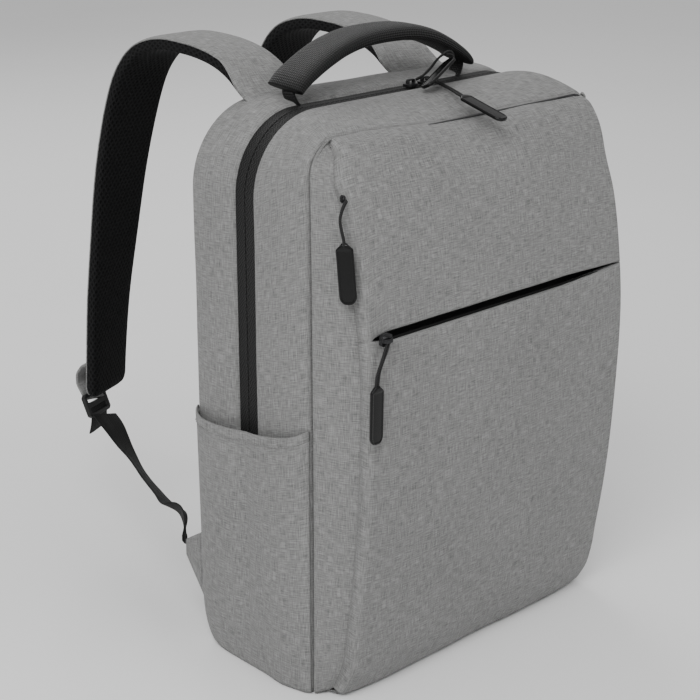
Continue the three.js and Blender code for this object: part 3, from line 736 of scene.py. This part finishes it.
back_sheet = arched_sheet(
    "back_sheet", BACK - 0.6, HALF_WIDTH - 0.5, BACK_TOP - 0.5, BACK_CORNER, FLOOR_Z, 1.6
)
reshaped(back_sheet, lambda p: tucked(p / MM) * MM)
dressed(walled(back_sheet, 2.5), DARK_LINING, "main", replaced=("back_panel",))
sleeve = arched_sheet("sleeve_sheet", 47, 132, 270, 12, 8, -1.5)
dressed(walled(sleeve, 4), DARK_LINING, "main", replaced=("laptop_sleeve",))
divider_low = arched_sheet("divider_low_sheet", SEAM_Y - 1.5, 145, 150, 5, 6, -0.8)
dressed(walled(divider_low, 1.2), DARK_LINING, "main", replaced=("divider_lower",))
divider_top = arched_sheet("divider_top_sheet", SEAM_Y - 1.5, 145.5, SEAM_TOP - 5, 22, 206, 0.8)
dressed(walled(divider_top, 1.2), DARK_LINING, "front_lid", replaced=("divider_upper",))
pouch = arched_sheet("slit_pouch_sheet", -81, 134, 310, 6, 214, -0.8)
dressed(walled(pouch, 1.2), DARK_LINING, "front_lid", replaced=("slit_pocket_lining",))


# ---- Base ----
def base_sheet():
    """The bottom: a rectangle with rounded corners, its rim turned up."""
    rows, cols = 40, 70
    v, deep_v = strip(2, 0.05, 0.0, rows)
    u, deep_u = strip(2, 0.03, 0.0, cols)
    half_x, half_y = 141.5, 65.0
    x = (u[None] - 1) * half_x * (1 - 0.03 * np.abs(v[:, None] - 1) ** 8)
    y = (v[:, None] - 1) * half_y + 0 * x
    z = 0.4 + 3.4 * np.clip(deep_v[:, None] / 0.05 + deep_u[None] / 0.03, 0, 1) + 0 * x
    return cloth("base_sheet", np.stack([x, y, z], -1), inside=(0, 0, 100))


dressed(walled(base_sheet(), 1.5), GREY, "main", replaced=("base_panel",))
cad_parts["base_board"].data.materials.clear()
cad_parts["base_board"].data.materials.append(BOARD)

# ---- Bottle pockets ----
HEM_LINE = spline([(86, 209), (72, 201), (45, 200), (0, 204.5), (-35, 212), (-56, 223)], 120)[::-1]
POCKET_FRONT, POCKET_BACK = SEAM_Y + 0.6, BACK - 1


def hem_z(y):
    """The height of the pocket's hem."""
    return np.interp(y, HEM_LINE[:, 0], HEM_LINE[:, 1])


def pocket_x(y, z):
    """How far out the bottle pocket stands: it leaves the side at both seams, bulges more towards its hem, and
    has one soft upright hollow and a soft fold in front of it."""
    t = np.clip((y - POCKET_FRONT) / (POCKET_BACK - POCKET_FRONT), 0, 1)
    bulge = 6.5 + (4.0 + 2.0 * smooth((y - 10) / 60)) * z / 205
    outline = np.clip(1 - np.abs(2 * t - 1) ** 5, 0, 1) ** 0.6
    hollow = 3.2 * np.exp(-(((y - 22 + 0.04 * z) / 9) ** 2)) * smooth(z / 60)
    hollow = hollow * (1 - 0.5 * smooth((z - 150) / 50))
    fold = 2.0 * np.exp(-(((y + 22) / 13) ** 2)) * smooth((200 - z) / 120)
    return HALF_WIDTH + 0.6 + (bulge - hollow + fold) * outline


def pocket(name, side):
    """The pocket's cloth from the base up to its hem."""
    t = 0.5 - 0.5 * np.cos(np.linspace(0, np.pi, 90))
    y = POCKET_FRONT + t * (POCKET_BACK - POCKET_FRONT)
    v = np.linspace(0, 1, 90)[:, None]
    z = FLOOR_Z + v * (hem_z(y)[None] - 3 - FLOOR_Z)
    x = pocket_x(y[None], z)
    points = np.stack([side * x, y[None] + 0 * x, z], -1)
    return cloth(name, tucked(points), inside=MIDDLE)


def hem(name, side):
    """The pocket's folded hem: a flat loop of cloth along the edge, standing a little proud."""
    y = np.linspace(POCKET_FRONT + 0.2, POCKET_BACK - 0.2, 110)
    angle = np.arange(24) / 24 * 2 * np.pi
    tall, thick = 8.4, 2.6
    c, s = np.cos(angle), np.sin(angle)
    dz = tall / 2 * np.sign(c) * np.abs(c) ** 0.6
    dx = thick / 2 * np.sign(s) * np.abs(s) ** 0.6
    z = hem_z(y)[:, None] - tall / 2 + dz[None]
    x = pocket_x(y[:, None], z) - 0.5 + dx[None] + 0.15 * np.sin(y * 0.9)[:, None]
    points = np.stack([side * x, y[:, None] + 0 * x, z], -1)
    return cloth(name, points, wrap=True, capped=True)


for name, side in SIDES:
    cover = walled(pocket(f"pocket_cloth_{name}", side), 1.8)
    dressed(cover, GREY, "main", replaced=(f"bottle_pocket_{name}",))
    band = dressed(hem(f"hem_{name}", side), GREY, "main", replaced=(f"pocket_hem_{name}",))
    y = np.linspace(POCKET_FRONT + 3, POCKET_BACK - 3, 200)
    z = hem_z(y) - 7.2
    line = np.stack([side * (pocket_x(y, z) + 0.85), y, z], -1)
    dressed(stitched(f"hem_stitches_{name}", line, (side, 0, 0)), THREAD, "main")


# ---- Zip pulls ----
def pull_tag(name, origin, length, face):
    """A rubber tag: a bar round at its far end and drawn in at the cord, with a shallow tray on its face."""
    t = np.linspace(0, 1, 60)
    s = t * TAG_LENGTH
    half = np.where(s < 5, 2.2 + (TAG_HALF - 2.2) * smooth(s / 5), TAG_HALF)
    tip = np.clip((s - TAG_LENGTH + TAG_HALF) / TAG_HALF, 0, 1)
    half = half * np.sqrt(np.clip(1 - tip**2, 0.0004, 1))
    thick = TAG_THICK * np.sqrt(np.clip(1 - np.clip(1 - s / 1.5, 0, 1) ** 2, 0.02, 1))
    thick = thick * np.sqrt(np.clip(1 - np.clip((s - TAG_LENGTH + 1.6) / 1.6, 0, 1) ** 2, 0.01, 1))
    section = rounded_section(2 * half, thick, 48, 3.4)
    y, z = section[..., 0], section[..., 1]
    margin = np.minimum(half[:, None] - np.abs(y), np.minimum(s[:, None] - 3, TAG_LENGTH - s[:, None]))
    z = z - np.where(z > 0, 0.55 * smooth((margin - 1.2) / 0.8), 0)
    points = np.stack([s[:, None] + 0 * y, y, z], -1)
    return cloth(name, laid(points, origin, length, face), wrap=True, capped=True)


def cord_pair(name, path, face):
    """Two strands of cord side by side along a path."""
    radius, apart = 0.9, 0.98
    side = frames(path, face)[1]
    normal = np.cross(np.gradient(path, axis=0), side)
    normal /= np.linalg.norm(normal, axis=1, keepdims=True)
    wander = 1 + 0.18 * np.sin(np.linspace(0, 3 * np.pi, len(path)))
    ring = rounded_section(2 * radius, 2 * radius, 12, 2.0)
    parts = []
    for index, way in enumerate((-1, 1)):
        strand = path + normal * (way * apart * wander)[:, None]
        parts.append(cloth(f"{name}_{index}", swept(strand, side + 1e-4, ring), wrap=True, capped=True))
    return joined(name, parts)


def pull(name, body, route, to, face, tilt):
    """A zip pull: its cord pair from the slider along route, and its tag from there towards to. The tag's
    face looks along face, and tilt sets the way the cord's two strands lie beside each other."""
    route = np.asarray(route, float)
    into = np.asarray(to, float) - route[-1]
    ahead = into / np.linalg.norm(into)
    path = spline(np.vstack([route, route[-1] + ahead * CORD_IN_TAG]), 36)
    cord = cord_pair(f"{name}_cord", path, tilt)
    dressed(cord, CORD_BRAID, body, replaced=(f"{name}_pull_cord",))
    tag = pull_tag(f"{name}_tag", route[-1] + ahead * CORD * 0.7, into, face)
    dressed(tag, RUBBER, body, replaced=(f"{name}_pull_tag",))


pull(
    "main_zip_left", "main_zip_left_pull",
    [
        (26.7, 19, 444.4), (31, 15, 448), (34, 10, 454), (36, 5, 461), (40, 1, 465.5),
        (45, -1, 465.5), (47, -1.5, 462),
    ],
    (3.5, -12, 445), (-0.52, 0.29, 0.80), (0.6, -0.8, 0.0),
)
pull(
    "main_zip_right", "main_zip_right_pull",
    [
        (37, 17.2, 444), (35, 8, 444.5), (30, -6, 443.7), (23, -22, 443.3),
        (16, -34, 443.5), (11.5, -42, 443.4),
    ],
    (13, -84, 431.4), (0, 0, 1), (0, 0, 1),
)
slit_y = front_y(SLIT_Z) - 1.2
pull(
    "slit_zip", "slit_zip_pull",
    [
        (-125.5, slit_y - 3.4, 298), (-128, slit_y - 4, 292), (-132.4, slit_y - 4.5, 284),
        (-135.6, slit_y - 4, 276), (-136.8, slit_y - 3.8, 268.5),
    ],
    (-138.6, front_y(226) - 2.8, 226), (0, -1, 0), (0, -1, 0),
)
side_y = front_y(397) + 5
pull(
    "side_zip", "side_zip_pull",
    [
        (-142, side_y - 4, 396.5), (-146.5, side_y - 4.5, 391), (-149.6, -82, 384),
        (-149.6, -83.5, 377), (-149, -85, 370.5),
    ],
    (-148.6, -89.5, 326), (-0.82, -0.57, 0), (0.57, -0.82, 0),
)


def into_fold(places):
    """The side slider's places, made smaller and moved under the lip."""
    middle = (places.max(0) + places.min(0)) / 2
    return middle + (places - middle) * SIDE_SLIDER_SHARE + np.array(SIDE_SLIDER_SHIFT) * MM


for zip_name in ("main_zip_left", "main_zip_right", "slit_zip", "side_zip"):
    node = f"{zip_name}_slider"
    cast = bevelled(f"{zip_name}_slider_cast", node, METAL_EDGE)
    if zip_name == "side_zip":
        reshaped(cast, into_fold)
    dressed(cast, METAL, node)


# ---- Carry handle ----
def handle():
    """The padded grip: a rounded section carried over a flat arc, thin and leaning at both ends."""
    half = [(-94, 451), (-87, 457), (-77, 463), (-63, 470), (-46, 476.5), (-25, 480.8), (0, 482)]
    whole = half + [(-x, z) for x, z in half[-2::-1]]
    path = spline([(x, HANDLE_Y, z) for x, z in whole], 160)
    t = np.linspace(0, 1, 160)
    swell = np.sin(np.pi * t) ** 0.4
    width, thick = (end + more * swell for end, more in zip(HANDLE_ENDS, HANDLE_SWELL))
    tilt = 0.18 * (1 - swell)
    across = np.stack([0 * tilt, np.cos(tilt), np.sin(tilt)], -1)
    section = rounded_section(width, thick, 48, 3.0)
    return cloth("handle_pad", swept(path, across, section), wrap=True, capped=True)


grip = dressed(handle(), HANDLE_CLOTH, "handle", replaced=("handle_grip",))
for name, side in SIDES:
    # The tongue leads from the grip's end down into the cloth behind the zip.
    tongue = [(90, 36, 452), (91, 35.5, 447), (88, 35, 441), (84, 35, 437)]
    tongue = spline([(side * x, y, z) for x, y, z in tongue], 30)
    tongue = flat_band(f"handle_tongue_{name}", tongue, (0, 1, 0), 13, 2.6)
    dressed(tongue, HANDLE_CLOTH, "main", replaced=(f"handle_anchor_{name}",))

# ---- Shoulder straps ----
STRAP_LINE = [
    (58, 436), (70, 441.5), (79.5, 447.5), (90, 454.5), (106, 461.5), (126, 466), (150, 468), (178, 467.5),
    (203, 461), (221, 449), (236, 428), (250, 392), (263, 345), (275, 285), (285, 230), (291, 180), (295, 140),
]
LOWER_LINE = [
    (92, 291, 118), (95, 273, 111), (99, 250, 98), (105, 221, 88), (110, 199, 83), (118, 168, 80),
    (130, 134, 84), (142, 113, 84), (148.3, 106.6, 74),
]


def strap_shape(t):
    """The strap's width and thickness along it: drawn in at the lower end, wide and thin at the seam."""
    low = np.sqrt(np.clip(1 - np.clip((t - 0.972) / 0.028, 0, 1) ** 3, 0.02, 1))
    root = smooth((t - 0.02) / 0.09)
    thick = 4 + (STRAP_THICK - 4) * root
    return STRAP_WIDTH * (0.72 + 0.28 * low) + 7 * (1 - root), thick * (0.35 + 0.65 * low)


def strap_turn(t, side):
    """The direction of the strap's width: straight across at the seam, turned a little at the lower end."""
    angle = STRAP_TURN * smooth((t - 0.4) / 0.6)
    return np.stack([np.cos(angle), -side * np.sin(angle), 0 * angle], -1)


def strap(name, side):
    """The padded strap and the grey cloth on its outer face, which wraps round to the edges at the seam."""
    share = np.clip(np.arange(-2, len(STRAP_LINE) - 2) / (len(STRAP_LINE) - 3), 0, 1)
    out = STRAP_X + STRAP_SPREAD * smooth((share - 0.4) / 0.6)
    path = spline([(side * x, y, z) for x, (y, z) in zip(out, STRAP_LINE)], 260)
    t = np.linspace(0, 1, len(path))
    width, thick = strap_shape(t)
    turn = strap_turn(t, side)
    section = rounded_section(width, thick, 44, STRAP_POWER)
    pad = cloth(f"strap_pad_{name}", swept(path, turn, section), wrap=True, capped=True)
    dressed(pad, SPACER, f"strap_{name}", replaced=(f"shoulder_strap_{name}",))
    edge = 0.14 * smooth((t - 0.05) / 0.06)[:, None]
    angle = (edge + (1 - 2 * edge) * np.linspace(0, 1, 36)[None]) * np.pi
    power = 2 / STRAP_POWER
    u = np.sign(np.cos(angle)) * np.abs(np.cos(angle)) ** power * (width / 2 + 0.8)[:, None]
    w = -np.clip(np.sin(angle), 0, 1) ** power * (thick / 2 + 1.0)[:, None]
    cover = swept(path, turn, np.stack([u, w], -1))
    face = walled(cloth(f"strap_cover_{name}", cover, inside=(side * STRAP_X, 150, 350)), 1.0)
    dressed(face, STRAP_GREY, f"strap_{name}")


for name, side in SIDES:
    strap(name, side)
    hold = side * LOCK_X
    turned = strap_turn(np.ones(1), side)[0]
    loop = [(300, 168), (309.5, 163), (317.5, 154), (318, 145), (311, 136.5), (305, 130)]
    loop = spline([(hold, y, z) for y, z in loop], 30)
    dressed(
        flat_band(f"lock_loop_{name}", loop, turned, 27, 3.0), STRAP_GREY, f"strap_{name}",
        replaced=(f"strap_loop_{name}",),
    )
    lock = bevelled(f"lock_frame_{name}", f"ladder_lock_{name}", 1.0)
    dressed(lock, PLASTIC, f"strap_{name}")
    tail = [(303.5, 128), (300, 120), (299.6, 114.5), (301, 108), (303.5, 101)]
    tail = spline([(hold, y, z) for y, z in tail], 24)
    dressed(
        flat_band(f"tail_{name}", tail, turned, WEBBING_WIDTH, WEBBING_THICK), WEBBING,
        f"strap_{name}", replaced=(f"webbing_tail_{name}",),
    )
    lower = spline([(side * a, y, z) for a, y, z in LOWER_LINE], 90)
    t = np.linspace(0, 1, 90)
    # The webbing's width turns from the lock's way to a slant, and ends upright at the anchor tab.
    begun, ended = smooth((t - 0.05) / 0.3)[:, None], smooth((t - 0.7) / 0.28)[:, None]
    slanted = np.array([0.65, -0.68 * side, 0.33 * side])
    across = turned * (1 - begun) + slanted * begun * (1 - ended) + np.array([0, 0, side]) * ended
    width = WEBBING_WIDTH - 8 * smooth((t - 0.8) / 0.2)
    band = flat_band(f"webbing_{name}", lower, across, width, WEBBING_THICK)
    dressed(band, WEBBING, replaced=(f"lower_webbing_{name}",))
    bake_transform(band)
    v, h = np.meshgrid(np.linspace(0, 1, 20), np.linspace(0, 1, 20), indexing="ij")
    low, high = 30 + 34 * v, 94 - 16 * v
    tab_points = np.stack([side * (148.6 + 0 * v), 79 + 25 * v, low + (high - low) * h], -1)
    tab = cloth(f"tab_{name}", tab_points, inside=MIDDLE)
    dressed(walled(tab, 2.2), GREY, "main", replaced=(f"anchor_tab_{name}",))
    seam_top = np.stack([np.full(40, side * 148.8), np.linspace(81, 103, 40), np.linspace(89, 75, 40)], 1)
    seam_up = np.stack([np.full(40, side * 148.8), np.full(40, 85.0), np.linspace(40, 86, 40)], 1)
    for seam_name, seam_line in ((f"tab_stitches_{name}", seam_top), (f"tab_stitches_up_{name}", seam_up)):
        dressed(stitched(seam_name, seam_line, (side, 0, 0), 3.0, 2.2), THREAD, "main")


# ---- Back pads ----
def back_pad(name, side):
    """A foam pad with rounded corners, crowned between its rim and its sewn channels."""
    v, u = np.meshgrid(np.linspace(-1, 1, 120), np.linspace(-1, 1, 50), indexing="ij")
    x = 68 + 50 * u * (1 - 0.06 * np.abs(v) ** 10)
    z = 222.5 + 182.5 * v * (1 - 0.02 * np.abs(u) ** 8)
    rim = np.clip(1 - np.abs(u) ** 6, 0, 1) ** 0.5 * np.clip(1 - np.abs(v) ** 24, 0, 1) ** 0.5
    channel = np.min([np.abs(z - at) for at in (112, 184, 256, 328)], axis=0)
    height = 10 * rim * (1 - 0.45 * np.exp(-((channel / 4) ** 2)))
    return cloth(name, np.stack([side * x, 81 + height, z], -1), inside=(side * 68, 0, 220))


for name, side in SIDES:
    pad = walled(back_pad(f"foam_pad_{name}", side), 1.5)
    dressed(pad, SPACER, "main", replaced=(f"back_pad_{name}",))

# ---- Floor and light ----
corners = [[(x, y, -0.2) for x in (-4e3, 4e3)] for y in (-4e3, 4e3)]
floor = cloth("floor", np.array(corners), inside=(0, 0, -100))
pale, tree, where = started("pale_floor", False)
mottle = stretched_noise(tree, where, (2, 2, 2))
finished(tree, blended(tree, mottle, (0.86, 0.86, 0.86), (0.9, 0.9, 0.9)), mottle, 0.0001, Roughness=0.8)
floor.data.materials.append(pale)

world = bpy.data.worlds.new("studio")
world.use_nodes = True
world.node_tree.nodes["Background"].inputs["Color"].default_value = (1, 1, 1, 1)
world.node_tree.nodes["Background"].inputs["Strength"].default_value = 0.58
bpy.context.scene.world = world


def softbox(name, place, size, power):
    """A square area light that looks at the pack."""
    light = bpy.data.lights.new(name, "AREA")
    light.size, light.energy = size, power
    made = bpy.data.objects.new(name, light)
    bpy.context.scene.collection.objects.link(made)
    made.location = place
    made.rotation_euler = (Vector((0, 0, 0.22)) - Vector(place)).to_track_quat("-Z", "Y").to_euler()


softbox("key", (-1.6, -0.9, 2.0), 1.4, 46)
softbox("fill", (0.4, -2.0, 2.3), 1.6, 11)
softbox("rim", (0.6, 1.8, 1.8), 1.4, 16)
